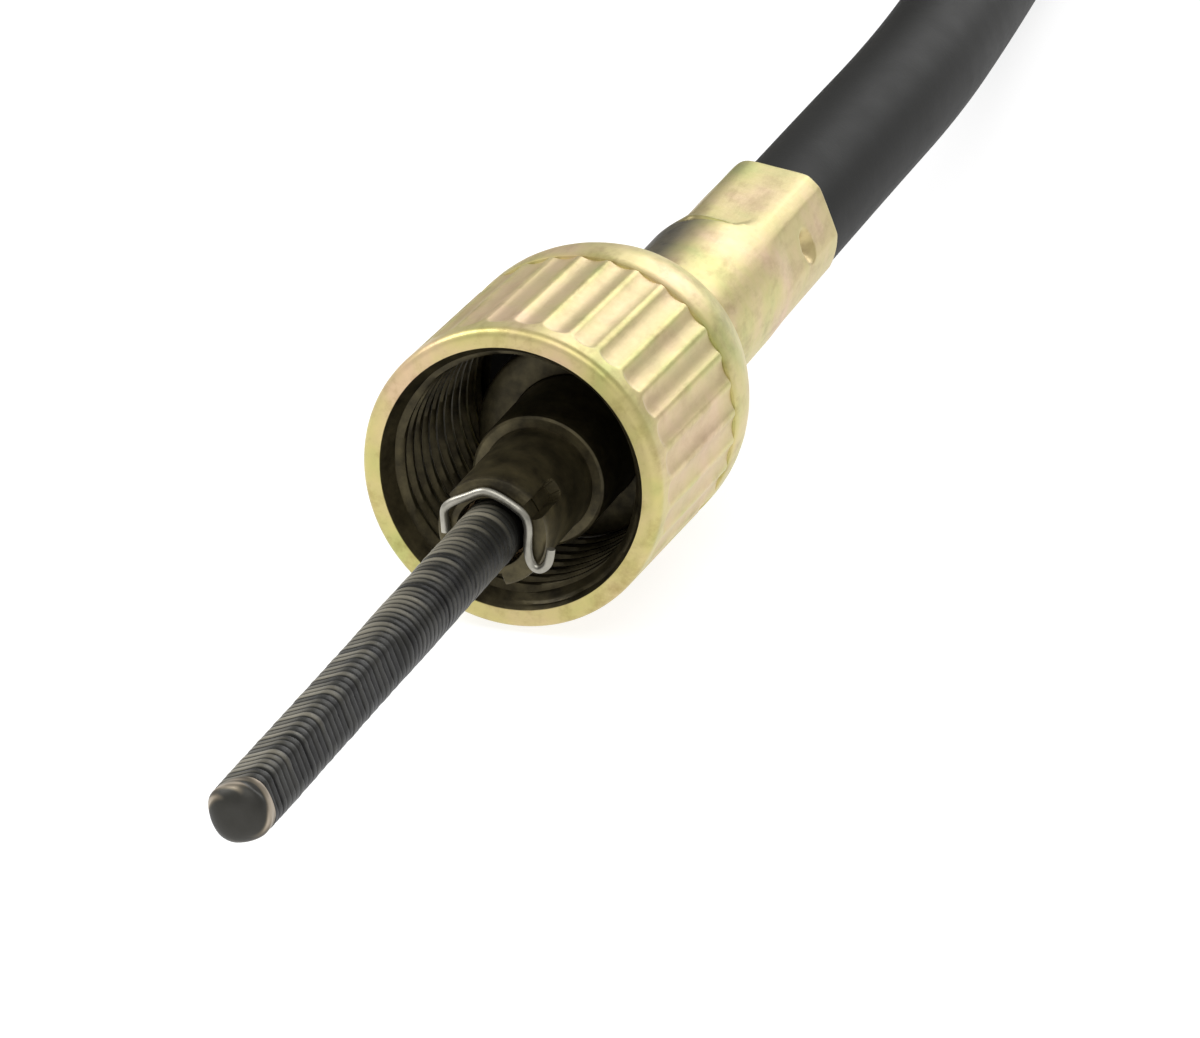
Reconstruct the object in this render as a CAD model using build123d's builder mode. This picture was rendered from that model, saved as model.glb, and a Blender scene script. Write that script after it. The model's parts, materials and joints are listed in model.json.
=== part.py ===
"""Speedometer drive cable: a flexible wire-wound shaft in a black sheath, with a coupling nut at each end.

Frame: millimetres. The origin is on the ferrule's axis at the front face of its flange, +Y runs
along the cable away from the free shaft end, +X is to the right and +Z is up.
Each end fitting is drawn face on: x to the right, y up and the distance forward out of its nose.
"""

import os
from math import cos, pi, radians, sin, tan

from build123d import *

os.makedirs("parts", exist_ok=True)

# Coupling nut, M12 x 1
NUT_R = 7.0
NUT_MOUTH_R = 6.13
NUT_BORE_R = 5.46
NUT_HOLE_R = 4.35
NUT_FRONT = 7.0
NUT_BACK = -8.0
NUT_LIP = 2.1
NUT_CHAMFER_LONG = 2.6
NUT_CHAMFER_DEEP = 0.8
NUT_EDGE = 0.25
NUT_ASIDE_WAY = (-0.787, 0.617)
NUT_ASIDE = 0.767
NUT_TILT_SLOPE = 0.0262
FLUTES = 32
FLUTE_TURN = 9.15
FLUTE_R = 1.24
FLUTE_DEPTH = 0.15
FLUTE_FRONT = 5.6
FLUTE_BACK = -3.5

# Nut washer, between the nut's lip and the ferrule's flange
NUT_WASHER_R = 5.3
NUT_WASHER_THICK = 0.6
NUT_WASHER_GAP = 0.1

# Ferrule
NOSE_R = 2.5
SPIGOT_R = 3.1
FLANGE_R = 4.62
BODY_R = 3.6
NOSE_FRONT = 11.8
SPIGOT_FRONT = 5.4
FLANGE_THICK = 1.6
CRIMP_FRONT = -20.8
FERRULE_BACK = -29.8
CRIMP_FLATS = 6.6
CRIMP_CORNER_ANGLE = 49
CRIMP_ASIDE = (0.13, -0.11)
DIMPLE_R = 0.8
DIMPLE_OUT = 3.65
DIMPLE_AT = -25.5
DIMPLE_ANGLE = 15
NOSE_SLOTS = 3
NOSE_SLOT_TURN = 34
NOSE_SLOT_WIDE = 0.9
NOSE_SLOT_DEEP = 0.6
NOSE_SLOT_BACK = 8.9
THROAT_R = 1.55
BUSH_FRONT = 10.6
BUSH_BACK = 3.0
CHAMBER_R = 2.6
CHAMBER_BACK = -14.0
CONDUIT_SEAT_R = 2.55

# Flexible shaft
SHAFT_R = 1.4
CORE_R = 0.5
SQUARE_FLATS = 2.4
SQUARE_ROUND = 0.72
SQUARE_TURN = 22
SQUARE_LONG = 18.1
TIP_LONG = 1.2
TIP_ROUND = 0.55
FRONT_TIP = 44.1
FRONT_SHAFT_BACK = -19.0
FAR_TIP = 24.3
FAR_SHAFT_BACK = -25.0
FAR_SQUARE_LONG = 9.5

# Pieces around the shaft
RUNNING_GAP = 0.05
BUSH_R = 1.95
COLLAR_R = 2.4
COLLAR_LONG = 4.0
THRUST_WASHER_R = 2.5
THRUST_WASHER_THICK = 0.45
THRUST_GAP = 0.1
FRONT_COLLAR_AT = 2.25
FAR_COLLAR_AT = -8.5
CONDUIT_R = 2.52
CONDUIT_BORE_R = 1.9
CONDUIT_FRONT = -14.3
LINER_R = 1.88
LINER_BORE_R = 1.5
LINER_FRONT = -14.6

# Wire clip on the nose's front face
CLIP_WIRE_R = 0.2
CLIP_ROUTE = [(-2.05, -0.1), (-2.05, 1.05), (-0.2, 2.1), (1.8, 0.85), (1.8, -1.2), (2.5, -1.2), (2.5, -0.35)]
CLIP_BENDS = [0.35, 0.9, 0.8, 0.34, 0.34]

# Sheath: the lead out of the front ferrule, the coil and the tail to the far fitting
SHEATH_R = 3.0
FLOOR_Z = -6.6
LEAD_ROUTE = [
    (0.35, 29.8, -0.25),
    (0.35, 42, -0.25),
    (0.1, 56, -0.7),
    (-1.5, 72, -1.8),
    (-3.3, 87, -3.0),
    (-4.2, 100, -3.6),
    (-4.4, 112, -3.6),
]
COIL_CENTRE = (-37.4, 117)
COIL_OUTLINE = [(27, 4.7), (27, 0.9), (31.2, FLOOR_Z), (36, FLOOR_Z), (36, -2.8), (31.8, 4.7)]
TAIL_ROUTE = [
    (-13.8, 92.5, 7),
    (-5.1, 106.5, 7),
    (-3.9, 122.9, 7),
    (-10.6, 137.9, 7.2),
    (-23.6, 148.1, 8.2),
    (-38.1, 150.5, 9.6),
    (-48.9, 145.7, 11),
    (-55.4, 135.7, 12),
    (-55.4, 125, 12),
]
FAR_HEADING = (0, -1, 0)


def write(piece, name):
    """Label a finished piece and write its STEP file."""
    piece.part.label = name
    export_step(piece.part, f"parts/{name}.step")


def half_plane(seat):
    """The plane that holds the seat's axis: x is the radius and y is the distance forward."""
    return Plane(origin=seat.origin, x_dir=seat.x_dir, z_dir=-seat.y_dir)


def nut_seat(seat):
    """The nut's own axis: it hangs loose on the ferrule, a little aside and a little tilted."""
    aside = seat.x_dir * NUT_ASIDE_WAY[0] + seat.y_dir * NUT_ASIDE_WAY[1]
    return Plane(
        origin=seat.origin + aside * NUT_ASIDE, x_dir=seat.x_dir, z_dir=seat.z_dir + aside * NUT_TILT_SLOPE
    )


def coupling_nut(name, seat):
    """The fluted nut with its countersunk mouth and the lip that holds it on the ferrule."""
    own = nut_seat(seat)
    half = half_plane(own)
    outline = [
        (NUT_HOLE_R, NUT_BACK),
        (NUT_R - NUT_CHAMFER_DEEP, NUT_BACK),
        (NUT_R, NUT_BACK + NUT_CHAMFER_LONG),
        (NUT_R, NUT_FRONT - NUT_EDGE),
        (NUT_R - NUT_EDGE, NUT_FRONT),
        (NUT_MOUTH_R, NUT_FRONT),
        (NUT_BORE_R, NUT_FRONT - NUT_MOUTH_R + NUT_BORE_R),
        (NUT_BORE_R, NUT_BACK + NUT_LIP),
        (NUT_HOLE_R, NUT_BACK + NUT_LIP),
    ]
    with BuildPart() as nut:
        with BuildSketch(half):
            with BuildLine():
                Polyline(*outline, close=True)
            make_face()
        revolve(axis=Axis(half.origin, half.y_dir))
        with BuildSketch(own.offset(FLUTE_BACK)):
            with PolarLocations(NUT_R + FLUTE_R - FLUTE_DEPTH, FLUTES, start_angle=FLUTE_TURN):
                Circle(FLUTE_R)
        extrude(amount=FLUTE_FRONT - FLUTE_BACK, mode=Mode.SUBTRACT)
    write(nut, name)


def nut_washer(name, seat):
    """The plain washer between the nut's lip and the flange, on the nut's own axis."""
    with BuildPart() as washer:
        with BuildSketch(nut_seat(seat).offset(NUT_BACK + NUT_LIP + NUT_WASHER_GAP)):
            Circle(NUT_WASHER_R)
            Circle(NUT_HOLE_R, mode=Mode.SUBTRACT)
        extrude(amount=NUT_WASHER_THICK)
    write(washer, name)


def ferrule(name, seat):
    """The stepped end fitting: a slotted nose, a flange and a slightly off-centre hexagonal crimp."""
    half = half_plane(seat)
    outline = [
        (THROAT_R, NOSE_FRONT),
        (NOSE_R, NOSE_FRONT),
        (NOSE_R, SPIGOT_FRONT),
        (SPIGOT_R, SPIGOT_FRONT),
        (SPIGOT_R, 0),
        (FLANGE_R, 0),
        (FLANGE_R, -FLANGE_THICK),
        (BODY_R, -FLANGE_THICK),
        (BODY_R, FERRULE_BACK),
        (CONDUIT_SEAT_R, FERRULE_BACK),
        (CONDUIT_SEAT_R, CHAMBER_BACK),
        (CHAMBER_R, CHAMBER_BACK),
        (CHAMBER_R, BUSH_BACK),
        (BUSH_R, BUSH_BACK),
        (BUSH_R, BUSH_FRONT),
        (THROAT_R, BUSH_FRONT),
    ]
    dimple = (DIMPLE_OUT * cos(radians(DIMPLE_ANGLE)), DIMPLE_OUT * sin(radians(DIMPLE_ANGLE)), DIMPLE_AT)
    with BuildPart() as body:
        with BuildSketch(half):
            with BuildLine():
                Polyline(*outline, close=True)
            make_face()
        revolve(axis=Axis(half.origin, half.y_dir))
        with BuildSketch(seat.offset(FERRULE_BACK)):
            Circle(BODY_R + 1)
            with Locations(CRIMP_ASIDE):
                RegularPolygon(
                    CRIMP_FLATS / 2, 6, major_radius=False, rotation=CRIMP_CORNER_ANGLE, mode=Mode.SUBTRACT
                )
        extrude(amount=CRIMP_FRONT - FERRULE_BACK, mode=Mode.SUBTRACT)
        with BuildSketch(seat.offset(NOSE_SLOT_BACK)):
            with PolarLocations(NOSE_R, NOSE_SLOTS, start_angle=NOSE_SLOT_TURN):
                Rectangle(2 * NOSE_SLOT_DEEP, NOSE_SLOT_WIDE)
        extrude(amount=NOSE_FRONT - NOSE_SLOT_BACK, mode=Mode.SUBTRACT)
        with Locations(seat.from_local_coords(dimple)):
            Sphere(DIMPLE_R, mode=Mode.SUBTRACT)
    write(body, name)


def ring(name, seat, outer_r, bore_r, back, front):
    """A plain turned ring on the ferrule's axis: a bush, collar, washer, liner or conduit end."""
    with BuildPart() as piece:
        with BuildSketch(seat.offset(back)):
            Circle(outer_r)
            Circle(bore_r, mode=Mode.SUBTRACT)
        extrude(amount=front - back)
    write(piece, name)


def shaft_winding(name, seat, tip, square_long, back):
    """The wound wire shaft, pressed square towards its tip and round from there on."""
    square_back = tip - square_long
    with BuildPart() as winding:
        with BuildSketch(seat.offset(square_back)):
            RectangleRounded(SQUARE_FLATS, SQUARE_FLATS, SQUARE_ROUND, rotation=SQUARE_TURN)
        extrude(amount=square_long - TIP_LONG)
        with BuildSketch(seat.offset(back)):
            Circle(SHAFT_R)
        extrude(amount=square_back - back)
        with BuildSketch(seat.offset(back)):
            Circle(CORE_R)
        extrude(amount=tip - TIP_LONG - back, mode=Mode.SUBTRACT)
    write(winding, name)


def shaft_core(name, seat, tip, back):
    """The straight wire that the shaft is wound on."""
    with BuildPart() as core:
        with BuildSketch(seat.offset(back)):
            Circle(CORE_R)
        extrude(amount=tip - TIP_LONG - back)
    write(core, name)


def shaft_tip(name, seat, tip):
    """The fused end of the shaft, which keeps the wires together."""
    with BuildPart() as cap:
        with BuildSketch(seat.offset(tip - TIP_LONG)):
            RectangleRounded(SQUARE_FLATS, SQUARE_FLATS, SQUARE_ROUND, rotation=SQUARE_TURN)
        extrude(amount=TIP_LONG)
        fillet(cap.faces().sort_by(Axis(seat.origin, seat.z_dir))[-1].edges(), TIP_ROUND)
    write(cap, name)


def shaft_clip(name, seat):
    """The spring wire that arches over the shaft, from a short leg to a hook."""
    face = seat.offset(NOSE_FRONT + CLIP_WIRE_R)
    foot = Plane(origin=face.from_local_coords(CLIP_ROUTE[0] + (0,)), x_dir=seat.x_dir, z_dir=seat.y_dir)
    with BuildPart() as clip:
        with BuildLine(face) as wire:
            FilletPolyline(*CLIP_ROUTE, radius=CLIP_BENDS)
        with BuildSketch(foot):
            Circle(CLIP_WIRE_R)
        sweep(path=wire.wire())
    write(clip, name)


def fitting(prefix, seat, tip, square_long, shaft_back, collar_at):
    """One whole end of the cable."""
    coupling_nut(prefix + "coupling_nut", seat)
    nut_washer(prefix + "nut_washer", seat)
    ferrule(prefix + "ferrule", seat)
    ring(prefix + "nose_bush", seat, BUSH_R, SHAFT_R + RUNNING_GAP, BUSH_BACK, BUSH_FRONT)
    ring(prefix + "conduit_end", seat, CONDUIT_R, CONDUIT_BORE_R, FERRULE_BACK, CONDUIT_FRONT)
    ring(prefix + "liner_end", seat, LINER_R, LINER_BORE_R, FERRULE_BACK, LINER_FRONT)
    shaft_clip(prefix + "shaft_clip", seat)
    washer_back = collar_at + THRUST_GAP
    ring(
        prefix + "thrust_washer",
        seat,
        THRUST_WASHER_R,
        SHAFT_R + RUNNING_GAP,
        washer_back,
        washer_back + THRUST_WASHER_THICK,
    )
    ring(prefix + "stop_collar", seat, COLLAR_R, SHAFT_R, collar_at - COLLAR_LONG, collar_at)
    shaft_winding(prefix + "shaft_winding", seat, tip, square_long, shaft_back)
    shaft_core(prefix + "shaft_core", seat, tip, shaft_back)
    shaft_tip(prefix + "shaft_tip", seat, tip)


def route_radii(points):
    """The bend radius at each corner: 0.45 of the shorter run over the tangent of half the turn."""
    spots = [Vector(*point) for point in points]
    radii = []
    for before, corner, after in zip(spots, spots[1:], spots[2:]):
        run_in = corner - before
        run_out = after - corner
        half_turn = radians(run_in.get_angle(run_out)) / 2
        radii.append(0.45 * min(run_in.length, run_out.length) / tan(half_turn))
    return radii


def cable_tube(name, route):
    """A stretch of sheath along its route, with the flexible shaft inside it."""
    radii = route_radii(route)
    print(name, "radii", [round(radius) for radius in radii])
    start = Vector(*route[0])
    with BuildPart() as tube:
        with BuildLine() as path:
            FilletPolyline(*route, radius=radii)
        with BuildSketch(Plane(origin=start, z_dir=Vector(*route[1]) - start)):
            Circle(SHEATH_R)
        sweep(path=path.wire())
    length = path.wire().length
    share = tube.part.volume / (pi * SHEATH_R**2 * length)
    print(name, "length", round(length, 2), "volume share", round(share, 4))
    write(tube, name)


def cable_coil(name):
    """The outer shape of the put-away coil: a turn on the floor and a slightly smaller one on top of it."""
    half = Plane(origin=(COIL_CENTRE[0], COIL_CENTRE[1], 0), x_dir=(1, 0, 0), z_dir=(0, -1, 0))
    with BuildPart() as coil:
        with BuildSketch(half) as section:
            with BuildLine():
                Polyline(*COIL_OUTLINE, close=True)
            make_face()
            fillet(section.vertices(), SHEATH_R / 2)
        revolve(axis=Axis(half.origin, (0, 0, 1)))
    write(coil, name)


front_seat = Plane(origin=(0, 0, 0), x_dir=(1, 0, 0), z_dir=(0, -1, 0))
heading = Vector(*FAR_HEADING).normalized()
far_origin = Vector(*TAIL_ROUTE[-1]) - heading * FERRULE_BACK
far_seat = Plane(origin=far_origin, x_dir=Vector(0, 0, 1).cross(heading), z_dir=heading)

fitting("", front_seat, FRONT_TIP, SQUARE_LONG, FRONT_SHAFT_BACK, FRONT_COLLAR_AT)
fitting("far_", far_seat, FAR_TIP, FAR_SQUARE_LONG, FAR_SHAFT_BACK, FAR_COLLAR_AT)
cable_tube("cable_lead", LEAD_ROUTE)
cable_coil("cable_coil")
cable_tube("cable_tail", TAIL_ROUTE)
print("far fitting origin", [round(value, 3) for value in tuple(far_origin)])
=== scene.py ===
"""The looks of the speedometer drive cable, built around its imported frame.

Metres in Blender. Lengths inside the functions are millimetres, as in the CAD, and each end fitting is
drawn face on in its seat: x to the right, y up and z forward, out of the fitting's nose.
"""
import json
from math import cos, pi, radians, sin

import bpy
import numpy as np
from mathutils import Matrix, Vector


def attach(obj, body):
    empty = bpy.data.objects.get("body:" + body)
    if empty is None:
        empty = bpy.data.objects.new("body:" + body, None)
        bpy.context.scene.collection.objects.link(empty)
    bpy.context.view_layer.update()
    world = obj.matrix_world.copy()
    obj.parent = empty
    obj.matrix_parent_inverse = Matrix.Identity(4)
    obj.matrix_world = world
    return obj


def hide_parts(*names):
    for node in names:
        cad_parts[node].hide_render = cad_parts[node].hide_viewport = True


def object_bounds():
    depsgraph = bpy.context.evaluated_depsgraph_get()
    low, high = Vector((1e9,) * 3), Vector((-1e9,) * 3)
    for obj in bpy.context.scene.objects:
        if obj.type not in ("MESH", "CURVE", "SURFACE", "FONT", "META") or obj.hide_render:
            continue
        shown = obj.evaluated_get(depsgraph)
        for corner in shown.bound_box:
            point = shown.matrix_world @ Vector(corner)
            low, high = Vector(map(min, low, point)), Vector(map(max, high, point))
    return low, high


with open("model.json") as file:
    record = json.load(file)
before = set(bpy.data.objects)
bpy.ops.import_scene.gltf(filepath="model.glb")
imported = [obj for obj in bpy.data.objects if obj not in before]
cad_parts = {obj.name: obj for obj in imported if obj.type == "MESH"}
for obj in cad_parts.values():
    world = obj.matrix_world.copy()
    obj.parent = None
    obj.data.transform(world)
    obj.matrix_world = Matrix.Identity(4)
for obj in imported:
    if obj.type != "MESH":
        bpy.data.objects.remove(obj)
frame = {"nodes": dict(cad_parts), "record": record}
CAD_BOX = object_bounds()
MM = 0.001
MOUNTS = {mount["name"]: mount for mount in frame["record"]["mounts"]}
JOINTS = {joint["name"]: joint for joint in frame["record"]["behaviour"]["joints"]}


# ---------------------------------------------------------------- places

def seat_at(origin, forward):
    """A seat: x to the right, y up and z forward, in the row frame."""
    z_way = Vector(forward).normalized()
    x_way = Vector((0, 0, 1)).cross(z_way).normalized()
    seat = Matrix((x_way, z_way.cross(x_way), z_way)).transposed().to_4x4()
    seat.translation = Vector(origin)
    return seat


def ferrule_seat(prefix):
    mount = MOUNTS[prefix + "ferrule_spigot"]
    return seat_at(mount["pos_m"], mount["axis"])


def nut_seat(prefix):
    joint = JOINTS[prefix + "nut_spin"]
    return seat_at(joint["pos_m"], -Vector(joint["axis"]))


# ---------------------------------------------------------------- curves of a value

def ease(value, start, end):
    """0 before start, 1 after end and a smooth rise between them."""
    share = np.clip((value - start) / (end - start), 0, 1)
    return share * share * (3 - 2 * share)


def hump(away, half):
    """1 where away is 0, falling smoothly to a third at half on either side."""
    return np.exp(-((away / half) ** 2))


def plateau(away, half):
    """As hump, with a flatter top and steeper sides."""
    return np.exp(-((away / half) ** 4))


# ---------------------------------------------------------------- camera

# Degrees, and millimetres at the point looked at. The lens is long, so the view is nearly parallel.
VIEW_AZIMUTH = 17.83
VIEW_ELEVATION = 21.67
VIEW_DISTANCE = 350
VIEW_WIDTH = 52.84
VIEW_RIGHT = 3.25
VIEW_DOWN = 1.09
LOOKED_AT = (0, -7, 0)
SENSOR = 36


def make_camera():
    """A camera that looks along -back, with the point looked at left of and above the picture's middle."""
    azimuth = radians(VIEW_AZIMUTH)
    elevation = radians(VIEW_ELEVATION)
    back = Vector((sin(azimuth) * cos(elevation), -cos(azimuth) * cos(elevation), sin(elevation)))
    right = Vector((cos(azimuth), sin(azimuth), 0))
    up = back.cross(right)
    place = Matrix((right, up, back)).transposed().to_4x4()
    place.translation = MM * (Vector(LOOKED_AT) + back * VIEW_DISTANCE + right * VIEW_RIGHT - up * VIEW_DOWN)
    data = bpy.data.cameras.new("camera")
    data.sensor_width = SENSOR
    data.lens = SENSOR * VIEW_DISTANCE / VIEW_WIDTH
    data.clip_start = 0.01
    camera = bpy.data.objects.new("camera", data)
    camera.matrix_world = place
    bpy.context.collection.objects.link(camera)
    bpy.context.scene.camera = camera


make_camera()


# ---------------------------------------------------------------- cord route

SHEATH_R = 3.0
LEAD_ROUTE = [
    (0.35, 29.8, -0.25),
    (0.35, 42, -0.25),
    (0.1, 56, -0.7),
    (-1.5, 72, -1.8),
    (-3.3, 87, -3.0),
    (-4.2, 100, -3.6),
    (-4.4, 112, -3.6),
]
TAIL_ROUTE = [
    (-13.8, 92.5, 7),
    (-5.1, 106.5, 7),
    (-3.9, 122.9, 7),
    (-10.6, 137.9, 7.2),
    (-23.6, 148.1, 8.2),
    (-38.1, 150.5, 9.6),
    (-48.9, 145.7, 11),
    (-55.4, 135.7, 12),
    (-55.4, 125, 12),
]

# The coil's steps and rises are in degrees, counted from its first point.
COIL_CENTRE = (-37.4, 117)
COIL_STEP = 22
COIL_STEPS = 30
COIL_LOW_R = 33
COIL_UP_R = 30
COIL_LOW_Z = -3.6
COIL_UP_Z = 1.7
COIL_TOP_Z = 7.0
COIL_FIRST_RISE = (270, 330)
COIL_SECOND_RISE = (625, 672)


def coil_points():
    """The coil's turns: one on the floor, a smaller one on top of it, and the start of a third."""
    points = []
    for index in range(COIL_STEPS):
        turned = COIL_STEP * (index + 0.5)
        upwards = ease(turned, *COIL_FIRST_RISE)
        again = ease(turned, *COIL_SECOND_RISE)
        radius = COIL_LOW_R + (COIL_UP_R - COIL_LOW_R) * (upwards - again)
        height = COIL_LOW_Z + (COIL_UP_Z - COIL_LOW_Z) * upwards + (COIL_TOP_Z - COIL_UP_Z) * again
        reach = radius / cos(radians(COIL_STEP / 2))
        x = COIL_CENTRE[0] + reach * cos(radians(turned))
        y = COIL_CENTRE[1] + reach * sin(radians(turned))
        points.append((x, y, height))
    return points


def smooth_line(name, points, radius):
    """A round wire or cord: one open NURBS spline, with the points as its control points."""
    data = bpy.data.curves.new(name, "CURVE")
    data.dimensions = "3D"
    data.bevel_depth = 1
    data.bevel_resolution = 8
    data.resolution_u = 8
    data.use_fill_caps = True
    spline = data.splines.new("NURBS")
    spline.points.add(len(points) - 1)
    for spot, point in zip(spline.points, points):
        spot.co = (*[MM * value for value in point], 1)
        spot.radius = radius * MM
    spline.order_u = 3
    spline.use_endpoint_u = True
    line = bpy.data.objects.new(name, data)
    bpy.context.collection.objects.link(line)
    return line


sheath = smooth_line("sheath", LEAD_ROUTE + coil_points() + TAIL_ROUTE, SHEATH_R)
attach(sheath, "cable")
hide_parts("cable_lead", "cable_coil", "cable_tail")


# ---------------------------------------------------------------- mesh making

def mesh_object(name, points, faces, seat, sharp):
    """A mesh piece from points in millimetres in a seat, smooth but for edges sharper than sharp degrees."""
    mesh = bpy.data.meshes.new(name)
    mesh.from_pydata((points * MM).tolist(), [], faces)
    mesh.transform(seat)
    mesh.shade_smooth()
    mesh.set_sharp_from_angle(angle=radians(sharp))
    piece = bpy.data.objects.new(name, mesh)
    bpy.context.collection.objects.link(piece)
    return piece


def lathe(name, seat, forward, radius, tint, sharp, closed=True):
    """A turned piece. forward, radius and tint are grids: a row for each station, a column for each angle.

    Stations run from the front back along the outside. A closed piece returns along its bore; an open
    one ends in a point on the axis at both ends. tint is kept on the mesh for the material to read.
    """
    rows, columns = radius.shape
    angles = np.linspace(0, 2 * pi, columns, endpoint=False)
    grid = np.stack([radius * np.cos(angles), radius * np.sin(angles), forward], axis=-1).reshape(-1, 3)
    row = np.arange(rows if closed else rows - 1)[:, None]
    column = np.arange(columns)[None, :]
    below = (row + 1) % rows * columns
    beside = (column + 1) % columns
    here = row * columns
    quads = np.stack([here + column, below + column, below + beside, here + beside], axis=-1)
    faces = quads.reshape(-1, 4).tolist()
    if not closed:
        tips = np.array([[0, 0, forward[0].mean()], [0, 0, forward[-1].mean()]])
        grid = np.vstack([grid, tips])
        first = rows * columns
        last_row = (rows - 1) * columns
        for start in range(columns):
            after = (start + 1) % columns
            faces.append((first, start, after))
            faces.append((first + 1, last_row + after, last_row + start))
    piece = mesh_object(name, grid, faces, seat, sharp)
    values = np.zeros(len(grid), dtype=np.float32)
    values[: rows * columns] = tint.reshape(-1)
    layer = piece.data.attributes.new("tint", "FLOAT", "POINT")
    layer.data.foreach_set("value", values)
    return piece


def angle_grid(columns):
    return np.linspace(0, 2 * pi, columns, endpoint=False)[None, :]


def turned_from(angles, centre):
    """How far each angle is from centre, in radians, from -pi to pi."""
    return (angles - centre + pi) % (2 * pi) - pi


def ripple(angles, forward, waves, seed, size):
    """A smooth uneven surface: a few slow waves with seeded directions."""
    draw = np.random.default_rng(seed)
    total = 0 * angles + 0 * forward
    for _ in range(waves):
        around = draw.integers(1, 5)
        along = draw.uniform(0.5, 2.5)
        total = total + np.sin(around * angles + along * forward + draw.uniform(0, 2 * pi))
    return size * total / waves


# ---------------------------------------------------------------- coupling nut

NUT_R = 7.0
NUT_FRONT = 7.0
NUT_BACK = -8.0
NUT_HOLE_R = 4.35
NUT_LIP_FRONT = -5.9
NUT_MOUTH_R = 6.14
THREAD_MINOR_R = 5.46
THREAD_DEPTH = 0.52
THREAD_PITCH = 1.0
THREAD_BACK = -4.9
THREAD_CREST_HALF = 0.125
THREAD_FLANK = 0.3125
COUNTERSINK_SLOPE = 0.6
FLUTES = 32
COLUMNS_PER_FLUTE = 16
FLUTE_TURN = 9.15
FLUTE_R = 1.24
FLUTE_DEPTH = 0.15
FLUTE_FRONT = 5.95
FLUTE_BACK = -3.52


def nut_stations():
    """The nut's section as (forward, radius) points: outside from the mouth back, its lip, its thread."""
    outside = [
        (NUT_FRONT, NUT_MOUTH_R), (NUT_FRONT, 6.55), (6.99, 6.66), (6.95, 6.78), (6.88, 6.88), (6.78, 6.95),
        (6.66, 6.99), (6.52, NUT_R), (6.3, NUT_R),
    ]
    front_end = np.arange(FLUTE_FRONT + 0.1, FLUTE_FRONT - 0.75, -0.07)
    middle = np.arange(FLUTE_FRONT - 0.9, FLUTE_BACK + 0.4, -0.7)
    outside += [(value, NUT_R) for value in np.concatenate([front_end, middle])]
    outside += [
        (-3.4, NUT_R), (-3.48, NUT_R), (-3.51, 6.99), (-3.54, 6.84), (-3.64, 6.84), (-3.67, 6.95),
        (-3.73, 6.98), (-4.2, 6.99), (-4.9, 6.98), (-5.4, 6.94), (-5.9, 6.85), (-6.4, 6.72), (-6.9, 6.56),
        (-7.4, 6.38), (-7.75, 6.25), (-7.92, 6.14), (NUT_BACK, 5.98), (NUT_BACK, 5.2), (NUT_BACK, 4.55),
        (-7.97, 4.42), (-7.88, NUT_HOLE_R),
    ]
    lip = [
        (-6.1, NUT_HOLE_R), (-5.95, 4.37), (NUT_LIP_FRONT, 4.45), (NUT_LIP_FRONT, 5.2), (NUT_LIP_FRONT, 5.95),
        (-5.8, 6.0), (-5.1, 6.0),
    ]
    thread = [(value, THREAD_MINOR_R) for value in np.arange(THREAD_BACK, 6.2, 0.1)]
    thread += [(value, THREAD_MINOR_R) for value in np.arange(6.24, 6.97, 0.08)]
    return outside, lip, thread


def flute_depth(angles, forward):
    """The depth of the flutes, cut by a ball-nosed tool that runs out at the back groove."""
    pitch = 2 * pi / FLUTES
    across = ((angles - radians(FLUTE_TURN) + pitch / 2) % pitch - pitch / 2) * NUT_R
    half_wide = (FLUTE_R**2 - (FLUTE_R - FLUTE_DEPTH) ** 2) ** 0.5
    past_front = np.clip(forward - (FLUTE_FRONT - half_wide), 0, None)
    squared = across**2 + past_front**2
    depth = FLUTE_DEPTH - FLUTE_R + np.sqrt(np.clip(FLUTE_R**2 - squared, 0, None))
    return np.clip(depth, 0, None) * (forward > FLUTE_BACK)


def thread_radius(angles, forward):
    """The bore's radius along an M12 x 1 thread, with its crests and roots a little rounded."""
    phase = (forward / THREAD_PITCH + angles / (2 * pi)) % 1
    from_root = np.abs(phase - 0.5)
    share = np.clip((0.5 - THREAD_CREST_HALF - from_root) / THREAD_FLANK, 0, 1)
    share = 0.5 * share + 0.5 * ease(share, 0, 1)
    fade = ease(forward, THREAD_BACK - 0.1, THREAD_BACK + 0.5)
    thread = THREAD_MINOR_R + THREAD_DEPTH * (share * fade + 1 - fade)
    countersink = NUT_MOUTH_R - COUNTERSINK_SLOPE * (NUT_FRONT - forward)
    return np.maximum(thread, countersink)


def make_nut(prefix):
    """The nut: fluted outside, threaded inside. Its tint is 1 in the flutes and -1 in the bore, which is dark
    with lubricant and painted shade.
    """
    outside, lip, thread = nut_stations()
    angles = angle_grid(FLUTES * COLUMNS_PER_FLUTE)
    stations = np.array(outside + lip + thread)
    forward = stations[:, :1] + 0 * angles
    radius = stations[:, 1:] + 0 * angles
    bore_start = len(outside)
    thread_start = bore_start + len(lip)
    depth = np.zeros_like(radius)
    depth[:bore_start] = flute_depth(angles, forward[:bore_start])
    radius = radius - depth
    radius[thread_start:] = thread_radius(angles, forward[thread_start:])
    tint = depth / FLUTE_DEPTH
    # The bore is dark with grease and painted shade.
    tint[bore_start:] = -1
    return lathe(prefix + "nut_shell", nut_seat(prefix), forward, radius, tint, sharp=30)


# ---------------------------------------------------------------- ferrule

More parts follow.
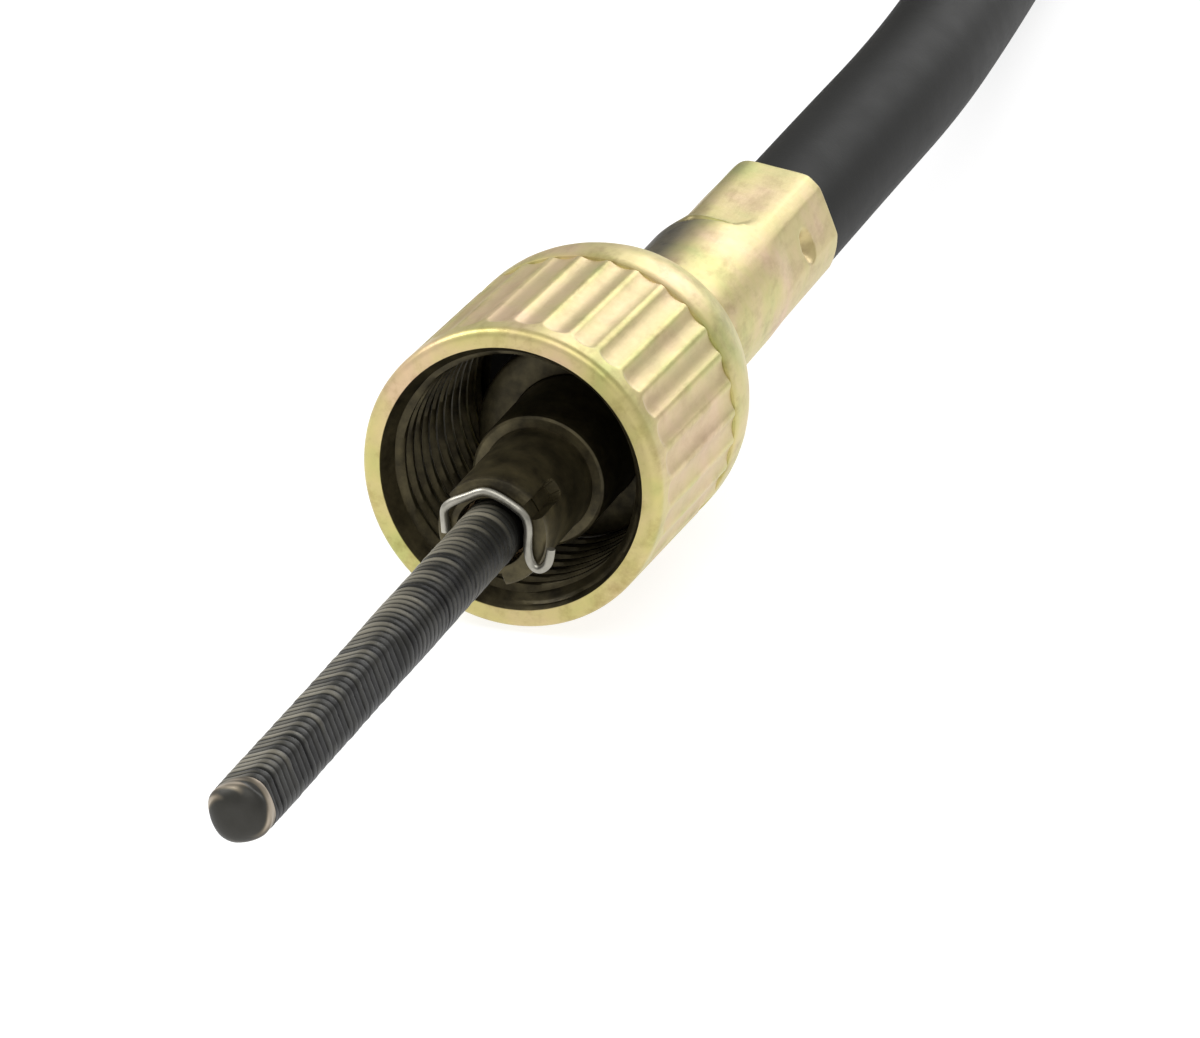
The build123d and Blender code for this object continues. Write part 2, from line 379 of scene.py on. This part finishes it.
NOSE_R = 2.5
NOSE_FRONT = 11.8
SPIGOT_R = 3.1
SPIGOT_FRONT = 5.4
FLANGE_R = 4.62
FLANGE_BACK = -1.6
BODY_R = 3.6
FERRULE_COLUMNS = 288
FERRULE_BACK = -29.8
CRIMP_START = -20.5
CRIMP_RUN_IN = 2.6
CRIMP_APOTHEM = 3.33
CRIMP_ASIDE = 0.17
CRIMP_ASIDE_ANGLE = -41
CRIMP_CORNER = 49
CRIMP_SHARPNESS = 14
BITTEN_ANGLE = 88
BITTEN_HALF_TURN = 0.38
BITTEN_RUN_IN = 0.3
SLIT_ANGLE = 97
SLIT_HALF_TURN = 0.3
SLIT_AT = -20.75
SLIT_HALF = 0.2
SLIT_DEPTH = 0.42
SLIT_LIP_AT = -21.2
SLIT_LIP = 0.1
SLIT_SHADE_HALF_TURN = 0.26
SLIT_SHADE = 1.3
SHADED_SMEAR_ANGLE = 97
SHADED_SMEAR_WIDE = 75
SHADED_SMEAR_LEFT_ON_CRIMP = 0.55
NOSE_SLOTS = 3
NOSE_SLOT_TURN = 34
NOSE_SLOT_HALF = 0.45
NOSE_SLOT_FLOOR = 1.9
NOSE_SLOT_BACK = 8.9
DIMPLE_ANGLE = 15
DIMPLE_AT = -25.5
DIMPLE_R = 0.85
DIMPLE_DEPTH = 0.46


def ferrule_stations():
    """The ferrule's section: outside from the nose back, then the bore."""
    outside = [(NOSE_FRONT, 1.62), (NOSE_FRONT, 1.9), (NOSE_FRONT, 2.2), (11.78, 2.36), (11.7, 2.47)]
    outside += [(11.55, NOSE_R)]
    outside += [(value, NOSE_R) for value in np.arange(11.3, 8.2, -0.1)]
    outside += [(7.5, NOSE_R), (6.4, NOSE_R), (5.5, NOSE_R), (SPIGOT_FRONT, 2.55), (SPIGOT_FRONT, 2.95)]
    outside += [(5.33, 3.06), (5.2, SPIGOT_R), (4.0, SPIGOT_R), (2.0, SPIGOT_R), (0.08, SPIGOT_R), (0, 3.15)]
    outside += [(0, 3.8), (0, 4.45), (-0.05, 4.56), (-0.15, FLANGE_R), (-0.8, FLANGE_R), (-1.45, FLANGE_R)]
    outside += [(-1.55, 4.56), (FLANGE_BACK, 4.45), (FLANGE_BACK, 3.8), (-1.65, 3.65), (-1.75, BODY_R)]
    outside += [(value, BODY_R) for value in np.arange(-2.5, -20.0, -0.5)]
    outside += [(value, BODY_R) for value in np.arange(-20.0, -29.55, -0.12)]
    outside += [(-29.62, BODY_R), (-29.7, 3.56), (-29.77, 3.48), (FERRULE_BACK, 3.38), (FERRULE_BACK, 3.1)]
    outside += [(FERRULE_BACK, 2.62)]
    bore = [(-29.7, 2.55), (-22, 2.55), (-14, 2.55), (-14, 2.6), (2.9, 2.6), (3.0, 1.95), (10.6, 1.95)]
    bore += [(10.6, 1.6), (10.7, 1.55), (11.7, 1.55)]
    return outside, bore


def hex_radius(angles):
    """The radius of the crimp's hexagon, whose corners are well rounded."""
    total = 0 * angles
    for side in range(6):
        face = radians(CRIMP_CORNER + 30 + 60 * side)
        total = total + np.clip(np.cos(angles - face), 0, None) ** CRIMP_SHARPNESS
    aside = CRIMP_ASIDE * np.cos(angles - radians(CRIMP_ASIDE_ANGLE))
    return np.minimum(CRIMP_APOTHEM * total ** (-1 / CRIMP_SHARPNESS) + aside, BODY_R)


def crimp_cut(angles, forward):
    """How far the crimp presses the body in. One face starts with a step, under a torn slit."""
    on_bitten = plateau(turned_from(angles, radians(BITTEN_ANGLE)), BITTEN_HALF_TURN)
    run_in = CRIMP_RUN_IN + (BITTEN_RUN_IN - CRIMP_RUN_IN) * on_bitten
    share = ease(CRIMP_START - forward, 0, run_in)
    on_slit = plateau(turned_from(angles, radians(SLIT_ANGLE)), SLIT_HALF_TURN)
    slit = SLIT_DEPTH * on_slit * hump(forward - SLIT_AT, SLIT_HALF)
    lip = SLIT_LIP * on_bitten * hump(forward - SLIT_LIP_AT, SLIT_HALF)
    return (BODY_R - hex_radius(angles)) * share + slit - lip


def ferrule_smear_and_shade(angles, forward):
    """The dark smear along the body's upper left side, which is also painted shade, and painted shade in the
    slit.
    """
    # A grease smear with painted shade along the upper left side.
    side = ease(turned_from(angles, radians(SHADED_SMEAR_ANGLE)), -0.3, 0.25)
    side = side * ease(-turned_from(angles, radians(SHADED_SMEAR_ANGLE + SHADED_SMEAR_WIDE)), -0.3, 0.2)
    thinned = (1 - SHADED_SMEAR_LEFT_ON_CRIMP) * ease(CRIMP_START - forward, 0, 1)
    body = side * ease(-forward, 2, 3) * (1 - thinned)
    # Painted shade in the torn slit.
    on_slit = plateau(turned_from(angles, radians(SLIT_ANGLE)), SLIT_SHADE_HALF_TURN)
    slit = on_slit * hump(forward - SLIT_AT, SLIT_HALF)
    return np.clip(body + SLIT_SHADE * slit, 0, 1)


def make_ferrule(prefix, seat):
    """The ferrule. Its tint is -1 where it is dark with lubricant and painted shade: in the bore, up to the
    flange, and in the smear.
    """
    outside, bore = ferrule_stations()
    angles = angle_grid(FERRULE_COLUMNS)
    stations = np.array(outside + bore)
    forward = stations[:, :1] + 0 * angles
    radius = stations[:, 1:] + 0 * angles
    outer = np.zeros_like(radius)
    outer[: len(outside)] = 1
    crimped = outer * (forward < CRIMP_START + 1) * (radius > SPIGOT_R + 0.1)
    radius = radius - crimped * crimp_cut(angles, forward)
    around = turned_from(angles, radians(DIMPLE_ANGLE)) * CRIMP_APOTHEM
    hollow = (around**2 + (forward - DIMPLE_AT) ** 2) / DIMPLE_R**2
    radius = radius - crimped * DIMPLE_DEPTH * np.clip(1 - hollow, 0, None)
    slot_step = 2 * pi / NOSE_SLOTS
    from_slot = (angles - radians(NOSE_SLOT_TURN) + slot_step / 2) % slot_step - slot_step / 2
    across = from_slot * NOSE_R
    past = np.clip(NOSE_SLOT_BACK + NOSE_SLOT_HALF - forward, 0, None)
    in_slot = outer * (across**2 + past**2 < NOSE_SLOT_HALF**2) * (radius > NOSE_SLOT_FLOOR)
    radius = np.where(in_slot > 0, NOSE_SLOT_FLOOR + 0.02 * (radius - NOSE_SLOT_FLOOR), radius)
    rubbed = 0.3 * ease(-forward, 20, 22)
    # Grease and painted shade darken everything forward of the flange, and the smear.
    greasy_and_shaded = ease(forward, FLANGE_BACK - 0.1, FLANGE_BACK + 0.1) + ferrule_smear_and_shade(angles, forward)
    tint = np.where(outer > 0, rubbed - greasy_and_shaded, -1)
    return lathe(prefix + "ferrule_shell", seat, forward, radius, tint, sharp=32)


# ---------------------------------------------------------------- wire clip

CLIP_WIRE_R = 0.2
CLIP_ROUTE = [
    (-2.03, -0.12), (-2.06, 0.4), (-2.12, 0.95), (-1.75, 1.32), (-1.1, 1.6), (-0.3, 2.02), (0.35, 1.85),
    (1.0, 1.5), (1.6, 1.1), (1.78, 0.5), (1.72, -0.2), (1.76, -0.85), (1.95, -1.28), (2.3, -1.38),
    (2.62, -1.12), (2.74, -0.75), (2.78, -0.35),
]


def make_clip(prefix, seat):
    """The spring wire, which lies on the nose's face and arches over the shaft."""
    face = NOSE_FRONT + CLIP_WIRE_R
    spots = [seat @ (MM * Vector((x, y, face))) / MM for x, y in CLIP_ROUTE]
    return smooth_line(prefix + "clip_wire", spots, CLIP_WIRE_R)


# ---------------------------------------------------------------- wound shaft

SHAFT_R = 1.4
SQUARE_HALF = 1.2
SQUARE_ROUND = 0.72
SQUARE_TURN = 22
SQUARE_RUN_OUT = 1.2
SHAFT_COLUMNS = 72
WIRE_PITCH = 0.5
ROWS_PER_WIRE = 10
WIRE_DRAWS = 4096
PRESSED_RIB = 0.055
ROUND_RIB = 0.09
GAP_HALF = 0.22
LIT_SIDE_ANGLE = 126
TIP_COLUMNS = 96
TIP_LONG = 1.2
TIP_ROUND_LONG = 0.72
TIP_FACE = 0.3
TIP_R = 1.33
TIP_MOST_R = 1.42
TIP_SQUARENESS = 0.35
TIP_ROUND_ROWS = 40
TIP_SIDE_ROWS = 12
TIP_LIT_SIDE_ANGLE = 86
PIT_ANGLE = 60
PIT_BEHIND = 0.75
PIT_DEPTH = 0.12


def square_radius(angles):
    """The radius of a square with rounded corners, in every direction."""
    quarter = pi / 2
    folded = np.abs((angles - radians(SQUARE_TURN) + quarter / 2) % quarter - quarter / 2)
    middle = SQUARE_HALF - SQUARE_ROUND
    flat = SQUARE_HALF / np.cos(folded)
    along = middle * (np.cos(folded) + np.sin(folded))
    corner = along + np.sqrt(np.clip(along**2 - 2 * middle**2 + SQUARE_ROUND**2, 0, None))
    return np.where(np.tan(folded) * SQUARE_HALF <= middle, flat, corner)


def make_winding(prefix, seat, tip, square_long, back, gaps, seed):
    """The wound wires: helical ribs, flattened where the shaft is pressed square, with a few gaps.

    Its tint is a painted highlight, up to 1 on the crests of the upper left side, and painted shade, down to
    0 between the wires and in the gaps.
    """
    angles = angle_grid(SHAFT_COLUMNS)
    forward = np.arange(tip - TIP_LONG, back, -WIRE_PITCH / ROWS_PER_WIRE)[:, None] + 0 * angles
    rounding = ease(tip - square_long - forward, -SQUARE_RUN_OUT, SQUARE_RUN_OUT)
    outline = square_radius(angles) * (1 - rounding) + SHAFT_R * rounding
    turns = forward / WIRE_PITCH + angles / (2 * pi)
    wire = np.floor(turns)
    across = np.abs(turns - wire - 0.5) * 2
    rib = 1 - np.sqrt(np.clip(1 - 0.97 * across**2.6, 0, 1))
    draw = np.random.default_rng(seed)
    uneven = draw.normal(0, 1, WIRE_DRAWS)[wire.astype(int) % WIRE_DRAWS]
    # Painted highlight: the wire crests are paler on the upper left side, which faces the light; the ribs are
    # also cut deeper there.
    lit_side = 0.5 + 0.5 * np.cos(turned_from(angles, radians(LIT_SIDE_ANGLE)))
    depth = (PRESSED_RIB + (ROUND_RIB - PRESSED_RIB) * rounding) * (0.4 + 0.6 * lit_side)
    opened = sum(hump(forward - spot, GAP_HALF) for spot in gaps)
    radius = outline - depth * rib * (1 + 0.9 * opened) + 0.006 * uneven
    radius = radius + ripple(angles, forward * 0.6, 5, seed, 0.012)
    # Painted shade: the tint falls between the wires and in the opened gaps, most on the lit side.
    tint = 0.1 + 0.75 * lit_side**3 + 0.15 * uneven - 0.4 * opened
    tint = np.clip(tint, 0, 1) * (1 - (0.3 + 0.6 * lit_side) * across**4)
    return lathe(prefix + "shaft_wires", seat, forward, radius, tint, sharp=75, closed=False)


def make_tip(prefix, seat, tip, seed):
    """The fused end: melted wires drawn into a rounded, slightly lumpy block with a pit in its side.

    Its tint is 0 on the face and up to 1 round the ragged rim, with a painted highlight on the rim's upper
    side and painted shade in the pit.
    """
    angles = angle_grid(TIP_COLUMNS)
    swing = np.linspace(0, pi / 2, TIP_ROUND_ROWS)[:, None]
    forward = tip - TIP_ROUND_LONG * (1 - np.cos(swing)) + 0 * angles
    reach = TIP_FACE + (1 - TIP_FACE) * np.sin(swing) + 0 * angles
    reach[0] = 0.02
    side = np.linspace(tip - TIP_ROUND_LONG, tip - TIP_LONG - 0.02, TIP_SIDE_ROWS)[1:, None] + 0 * angles
    forward = np.vstack([forward, side])
    reach = np.vstack([reach, np.ones_like(side)])
    lumps = ripple(angles, forward * 1.6, 7, seed, 0.035) + ripple(angles, forward * 4, 7, seed + 1, 0.03)
    lumps = lumps * ease(reach, 0.3, 1.0) * ease(-forward, -(tip - 0.1), -(tip - 0.7))
    outline = TIP_SQUARENESS * square_radius(angles) + (1 - TIP_SQUARENESS) * TIP_R
    radius = np.clip(outline * reach + lumps, 0.005, TIP_MOST_R)
    pit = hump(turned_from(angles, radians(PIT_ANGLE)), 0.35) * hump(forward - tip + PIT_BEHIND, 0.2)
    radius = radius - PIT_DEPTH * pit
    # Painted highlight: the rim is paler on its upper side, towards the light.
    top = 0.6 + 0.4 * np.cos(turned_from(angles, radians(TIP_LIT_SIDE_ANGLE)))
    ragged = ripple(angles, forward * 3, 5, seed + 2, 0.8) + ripple(angles * 2, forward * 8, 9, seed + 3, 0.7)
    # Painted shade darkens the tint in the pit.
    tint = ease(-forward + 0.3 * ragged, -(tip - 0.25), -(tip - 0.7)) * top * (0.75 + ragged) - 0.8 * pit
    return lathe(prefix + "fused_tip", seat, forward, radius, tint, sharp=80, closed=False)


# ---------------------------------------------------------------- materials

def new_material(name):
    """A material with its shader and node tree."""
    material = bpy.data.materials.new(name)
    material.use_nodes = True
    tree = material.node_tree
    return material, tree, tree.nodes["Principled BSDF"]


def node(tree, kind, **settings):
    """A new node. A setting goes to the socket of its name or, failing that, to the property of its name."""
    made = tree.nodes.new(kind)
    for key, value in settings.items():
        if key in made.inputs:
            made.inputs[key].default_value = value
        else:
            setattr(made, key, value)
    return made


def link(tree, source, output, target, socket):
    tree.links.new(source.outputs[output], target.inputs[socket])


def noise(tree, scale, detail=4, roughness=0.55, stretch=(1, 1, 1)):
    """Noise in object space, finer by scale and stretched by stretch."""
    place = node(tree, "ShaderNodeTexCoord")
    mapping = node(tree, "ShaderNodeMapping")
    mapping.inputs["Scale"].default_value = stretch
    link(tree, place, "Object", mapping, "Vector")
    made = node(tree, "ShaderNodeTexNoise", Scale=scale, Detail=detail, Roughness=roughness)
    link(tree, mapping, "Vector", made, "Vector")
    return made


def ramp(tree, source, output, stops):
    """Colours along a value: stops are (place, colour) pairs."""
    made = node(tree, "ShaderNodeValToRGB")
    while len(made.color_ramp.elements) < len(stops):
        made.color_ramp.elements.new(0.5)
    for element, (place, colour) in zip(made.color_ramp.elements, stops):
        element.position = place
        element.color = (*colour, 1)
    link(tree, source, output, made, "Fac")
    return made


def mixed(tree, amount, first, second, blend="MIX"):
    """Two colours mixed, each a (node, output) pair or plain. amount is such a pair or a number."""
    made = node(tree, "ShaderNodeMix", data_type="RGBA", blend_type=blend)
    if isinstance(amount, tuple):
        tree.links.new(amount[0].outputs[amount[1]], made.inputs[0])
    else:
        made.inputs[0].default_value = amount
    for socket, value in ((6, first), (7, second)):
        if isinstance(value, tuple) and hasattr(value[0], "outputs"):
            tree.links.new(value[0].outputs[value[1]], made.inputs[socket])
        else:
            made.inputs[socket].default_value = (*value, 1)
    return made


def bump(tree, shader, layers):
    """Bump from several (node, output, strength, distance) layers."""
    last = None
    for source, output, strength, distance in layers:
        made = node(tree, "ShaderNodeBump", Strength=strength, Distance=distance)
        link(tree, source, output, made, "Height")
        if last is not None:
            link(tree, last, "Normal", made, "Normal")
        last = made
    link(tree, last, "Normal", shader, "Normal")


def spread(tree, source, output, low, high):
    """A value from 0 to 1 taken to the range from low to high."""
    made = node(tree, "ShaderNodeMapRange")
    made.inputs["To Min"].default_value = low
    made.inputs["To Max"].default_value = high
    link(tree, source, output, made, "Value")
    return made


def tint_value(tree):
    """The tint that lathe keeps on a mesh."""
    return node(tree, "ShaderNodeAttribute", attribute_name="tint")


def zinc_material():
    """Yellow chromate over zinc: gold with drifts of pink and green, pinker in the flutes, dark where
    lubricant and painted shade darken it.
    """
    material, tree, shader = new_material("yellow_zinc")
    drift = noise(tree, 260, 3)
    film = ramp(tree, drift, "Fac", [
        (0.3, (0.50, 0.50, 0.18)), (0.45, (0.60, 0.53, 0.22)), (0.55, (0.64, 0.53, 0.26)),
        (0.7, (0.70, 0.52, 0.33)),
    ])
    tint = tint_value(tree)
    mottle = noise(tree, 850, 5, 0.65, (1, 0.45, 1))
    stain = ramp(tree, mottle, "Fac", [
        (0.3, (0.62, 0.55, 0.42)), (0.5, (0.96, 0.95, 0.9)), (0.75, (1.08, 1.05, 0.98)),
    ])
    film = mixed(tree, 0.75, (film, "Color"), (stain, "Color"), "MULTIPLY")
    in_flute = ramp(tree, tint, "Fac", [(0.0, (0, 0, 0)), (0.5, (0.75, 0.75, 0.75)), (1.0, (1, 1, 1))])
    flute_colour = mixed(tree, 0.55, (film, 2), (0.60, 0.44, 0.27))
    outside = mixed(tree, (in_flute, "Color"), (film, 2), (flute_colour, 2))
    smears = noise(tree, 900, 4, 0.6)
    # Dark grease colour, which also stands in as painted shade in the nut's bore and round the ferrule's
    # nose.
    grease_and_shade_colour = ramp(tree, smears, "Fac", [(0.3, (0.025, 0.02, 0.01)), (0.7, (0.12, 0.1, 0.05))])
    grease_and_shade_share = node(tree, "ShaderNodeMapRange")
    grease_and_shade_share.inputs["From Max"].default_value = -1
    link(tree, tint, "Fac", grease_and_shade_share, "Value")
    base = mixed(tree, (grease_and_shade_share, "Result"), (outside, 2), (grease_and_shade_colour, "Color"))
    link(tree, base, 2, shader, "Base Color")
    shader.inputs["Metallic"].default_value = 0.85
    shader.inputs["Coat Weight"].default_value = 0.15
    shader.inputs["Coat Roughness"].default_value = 0.3
    grain = noise(tree, 2600, 5, 0.7)
    rough = spread(tree, grain, "Fac", 0.34, 0.52)
    link(tree, rough, "Result", shader, "Roughness")
    scratches = noise(tree, 1500, 3, 0.6, (1, 0.12, 1))
    bump(tree, shader, [(grain, "Fac", 0.25, 0.00004), (scratches, "Fac", 0.35, 0.00005)])
    return material


def shaft_material():
    """Oiled steel wire: dark, with painted highlights on the crests of the upper left side."""
    material, tree, shader = new_material("oiled_wire")
    tint = tint_value(tree)
    drift = noise(tree, 900, 4)
    # The tint brings painted highlights on the crests and painted shade between the wires.
    wire = ramp(tree, tint, "Fac", [
        (0.0, (0.004, 0.004, 0.004)), (0.4, (0.02, 0.02, 0.017)), (1.0, (0.26, 0.245, 0.2)),
    ])
    oil = mixed(tree, (drift, "Fac"), (0.75, 0.75, 0.72), (1.15, 1.1, 1.0))
    base = mixed(tree, 1.0, (wire, "Color"), (oil, 2), "MULTIPLY")
    link(tree, base, 2, shader, "Base Color")
    shader.inputs["Metallic"].default_value = 0.3
    shader.inputs["Specular IOR Level"].default_value = 0.2
    rough = spread(tree, drift, "Fac", 0.32, 0.5)
    link(tree, rough, "Result", shader, "Roughness")
    grain = noise(tree, 6000, 4, 0.7)
    bump(tree, shader, [(grain, "Fac", 0.3, 0.00003)])
    return material


def tip_material():
    """The fused end: dark and smooth on its face, pale and rough round its rim, with a painted highlight on
    the rim's upper side.
    """
    material, tree, shader = new_material("fused_steel")
    tint = tint_value(tree)
    drift = noise(tree, 1400, 4)
    rim = ramp(tree, tint, "Fac", [
        (0.0, (0.045, 0.045, 0.042)), (0.35, (0.16, 0.14, 0.11)), (0.8, (0.42, 0.37, 0.31)),
    ])
    patches = mixed(tree, (drift, "Fac"), (0.7, 0.68, 0.6), (1.25, 1.2, 1.15))
    base = mixed(tree, 1.0, (rim, "Color"), (patches, 2), "MULTIPLY")
    link(tree, base, 2, shader, "Base Color")
    shader.inputs["Metallic"].default_value = 0.7
    rough = spread(tree, drift, "Fac", 0.35, 0.6)
    link(tree, rough, "Result", shader, "Roughness")
    bump(tree, shader, [(drift, "Fac", 0.4, 0.00006)])
    return material


def sheath_material():
    """Black PVC, with an uneven gloss and a fine grain."""
    material, tree, shader = new_material("black_pvc")
    drift = noise(tree, 500, 4)
    base = ramp(tree, drift, "Fac", [(0.35, (0.005, 0.005, 0.004)), (0.7, (0.009, 0.009, 0.008))])
    link(tree, base, "Color", shader, "Base Color")
    rough = spread(tree, drift, "Fac", 0.5, 0.64)
    link(tree, rough, "Result", shader, "Roughness")
    shader.inputs["Specular IOR Level"].default_value = 0.14
    grain = noise(tree, 5000, 4, 0.65)
    bump(tree, shader, [(drift, "Fac", 0.1, 0.0001), (grain, "Fac", 0.16, 0.00003)])
    return material


def plain_metal(name, low, high, metallic, rough_low, rough_high):
    """A metal or plastic with some wear, for the small inner pieces, between two colours."""
    material, tree, shader = new_material(name)
    drift = noise(tree, 1200, 5)
    base = ramp(tree, drift, "Fac", [(0.3, low), (0.7, high)])
    link(tree, base, "Color", shader, "Base Color")
    shader.inputs["Metallic"].default_value = metallic
    rough = spread(tree, drift, "Fac", rough_low, rough_high)
    link(tree, rough, "Result", shader, "Roughness")
    grain = noise(tree, 5200, 4, 0.7)
    bump(tree, shader, [(grain, "Fac", 0.25, 0.00003)])
    return material


def dress(piece, material):
    piece.data.materials.clear()
    piece.data.materials.append(material)


def dress_node(name, material):
    """Give a CAD node a better material in the slots that it has."""
    part = frame["nodes"][name]
    for slot in part.material_slots:
        slot.material = material


def settle(piece, body, stands_for, material):
    """Let a piece ride on its body in place of its CAD node, with its finish."""
    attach(piece, body)
    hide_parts(stands_for)
    dress(piece, material)


# ---------------------------------------------------------------- the two fittings

ZINC = zinc_material()
WIRE = shaft_material()
FUSED = tip_material()
PVC = sheath_material()
CLIP = plain_metal("clip_wire_steel", (0.26, 0.25, 0.21), (0.46, 0.44, 0.38), 0.9, 0.25, 0.42)
# Near-black washers deep in the nut: painted shade.
SHADED_WASHER = plain_metal("washer_steel", (0.008, 0.008, 0.005), (0.03, 0.027, 0.018), 0.5, 0.45, 0.65)
BRONZE = plain_metal("bush_bronze", (0.20, 0.13, 0.07), (0.36, 0.25, 0.13), 0.85, 0.35, 0.55)
CONDUIT = plain_metal("conduit_steel", (0.16, 0.16, 0.155), (0.30, 0.30, 0.29), 0.85, 0.35, 0.55)
NYLON = plain_metal("liner_nylon", (0.52, 0.51, 0.45), (0.66, 0.65, 0.58), 0.0, 0.4, 0.55)

dress(sheath, PVC)

# The tip, the gaps between wires and the wires' back end are millimetres forward of the flange's face.
ENDS = {
    "": dict(tip=44.1, square_long=17.6, back=-19, gaps=(42.0, 38.4, 21.6), seed=3),
    "far_": dict(tip=24.3, square_long=9, back=-25, gaps=(20.4, 15.1), seed=8),
}
INNER = {
    "nut_washer": SHADED_WASHER, "thrust_washer": SHADED_WASHER, "nose_bush": BRONZE, "conduit_end": CONDUIT,
    "liner_end": NYLON, "stop_collar": CONDUIT, "shaft_core": WIRE,
}
for prefix, end in ENDS.items():
    seat = ferrule_seat(prefix)
    nut = make_nut(prefix)
    ferrule = make_ferrule(prefix, seat)
    clip = make_clip(prefix, seat)
    winding = make_winding(prefix, seat, **end)
    fused = make_tip(prefix, seat, end["tip"], end["seed"])
    settle(nut, prefix + "nut", prefix + "coupling_nut", ZINC)
    settle(ferrule, "cable", prefix + "ferrule", ZINC)
    settle(clip, "cable", prefix + "shaft_clip", CLIP)
    settle(winding, prefix + "shaft", prefix + "shaft_winding", WIRE)
    settle(fused, prefix + "shaft", prefix + "shaft_tip", FUSED)
    for name, material in INNER.items():
        dress_node(prefix + name, material)


# ---------------------------------------------------------------- studio

FLOOR_HALF = 2.0


def make_floor():
    """A plain floor under the object. It glows a little, so that it looks nearly white."""
    low = CAD_BOX[0][2]
    corners = [(x * FLOOR_HALF, y * FLOOR_HALF, low) for x, y in ((-1, -1), (1, -1), (1, 1), (-1, 1))]
    mesh = bpy.data.meshes.new("floor")
    mesh.from_pydata(corners, [], [(0, 1, 2, 3)])
    floor = bpy.data.objects.new("floor", mesh)
    bpy.context.collection.objects.link(floor)
    material, tree, shader = new_material("floor_white")
    shader.inputs["Base Color"].default_value = (0.35, 0.35, 0.35, 1)
    shader.inputs["Roughness"].default_value = 1.0
    shader.inputs["Specular IOR Level"].default_value = 0
    shader.inputs["Emission Color"].default_value = (1, 1, 1, 1)
    shader.inputs["Emission Strength"].default_value = 0.8
    dress(floor, material)


def make_light(name, spot, size, power):
    """A round softbox, shining from spot at the frame's origin, which is in the front nut."""
    data = bpy.data.lights.new(name, "AREA")
    data.shape = "DISK"
    data.size = size
    data.energy = power
    light = bpy.data.objects.new(name, data)
    light.location = spot
    light.visible_camera = False
    light.rotation_euler = (-Vector(spot)).to_track_quat("-Z", "Y").to_euler()
    bpy.context.collection.objects.link(light)


def make_world():
    world = bpy.data.worlds.new("studio")
    bpy.context.scene.world = world
    world.use_nodes = True
    background = world.node_tree.nodes["Background"]
    background.inputs["Color"].default_value = (1, 1, 1, 1)
    background.inputs["Strength"].default_value = 0.6


make_floor()
make_world()
make_light("key", (-0.36, -0.05, 0.4), 0.3, 1.4)
make_light("top", (0.1, -0.22, 0.45), 0.4, 0.8)
make_light("window", (0.08, 0.62, 0.27), 0.4, 1.0)
bpy.context.scene.view_settings.view_transform = "Standard"
bpy.context.view_layer.update()
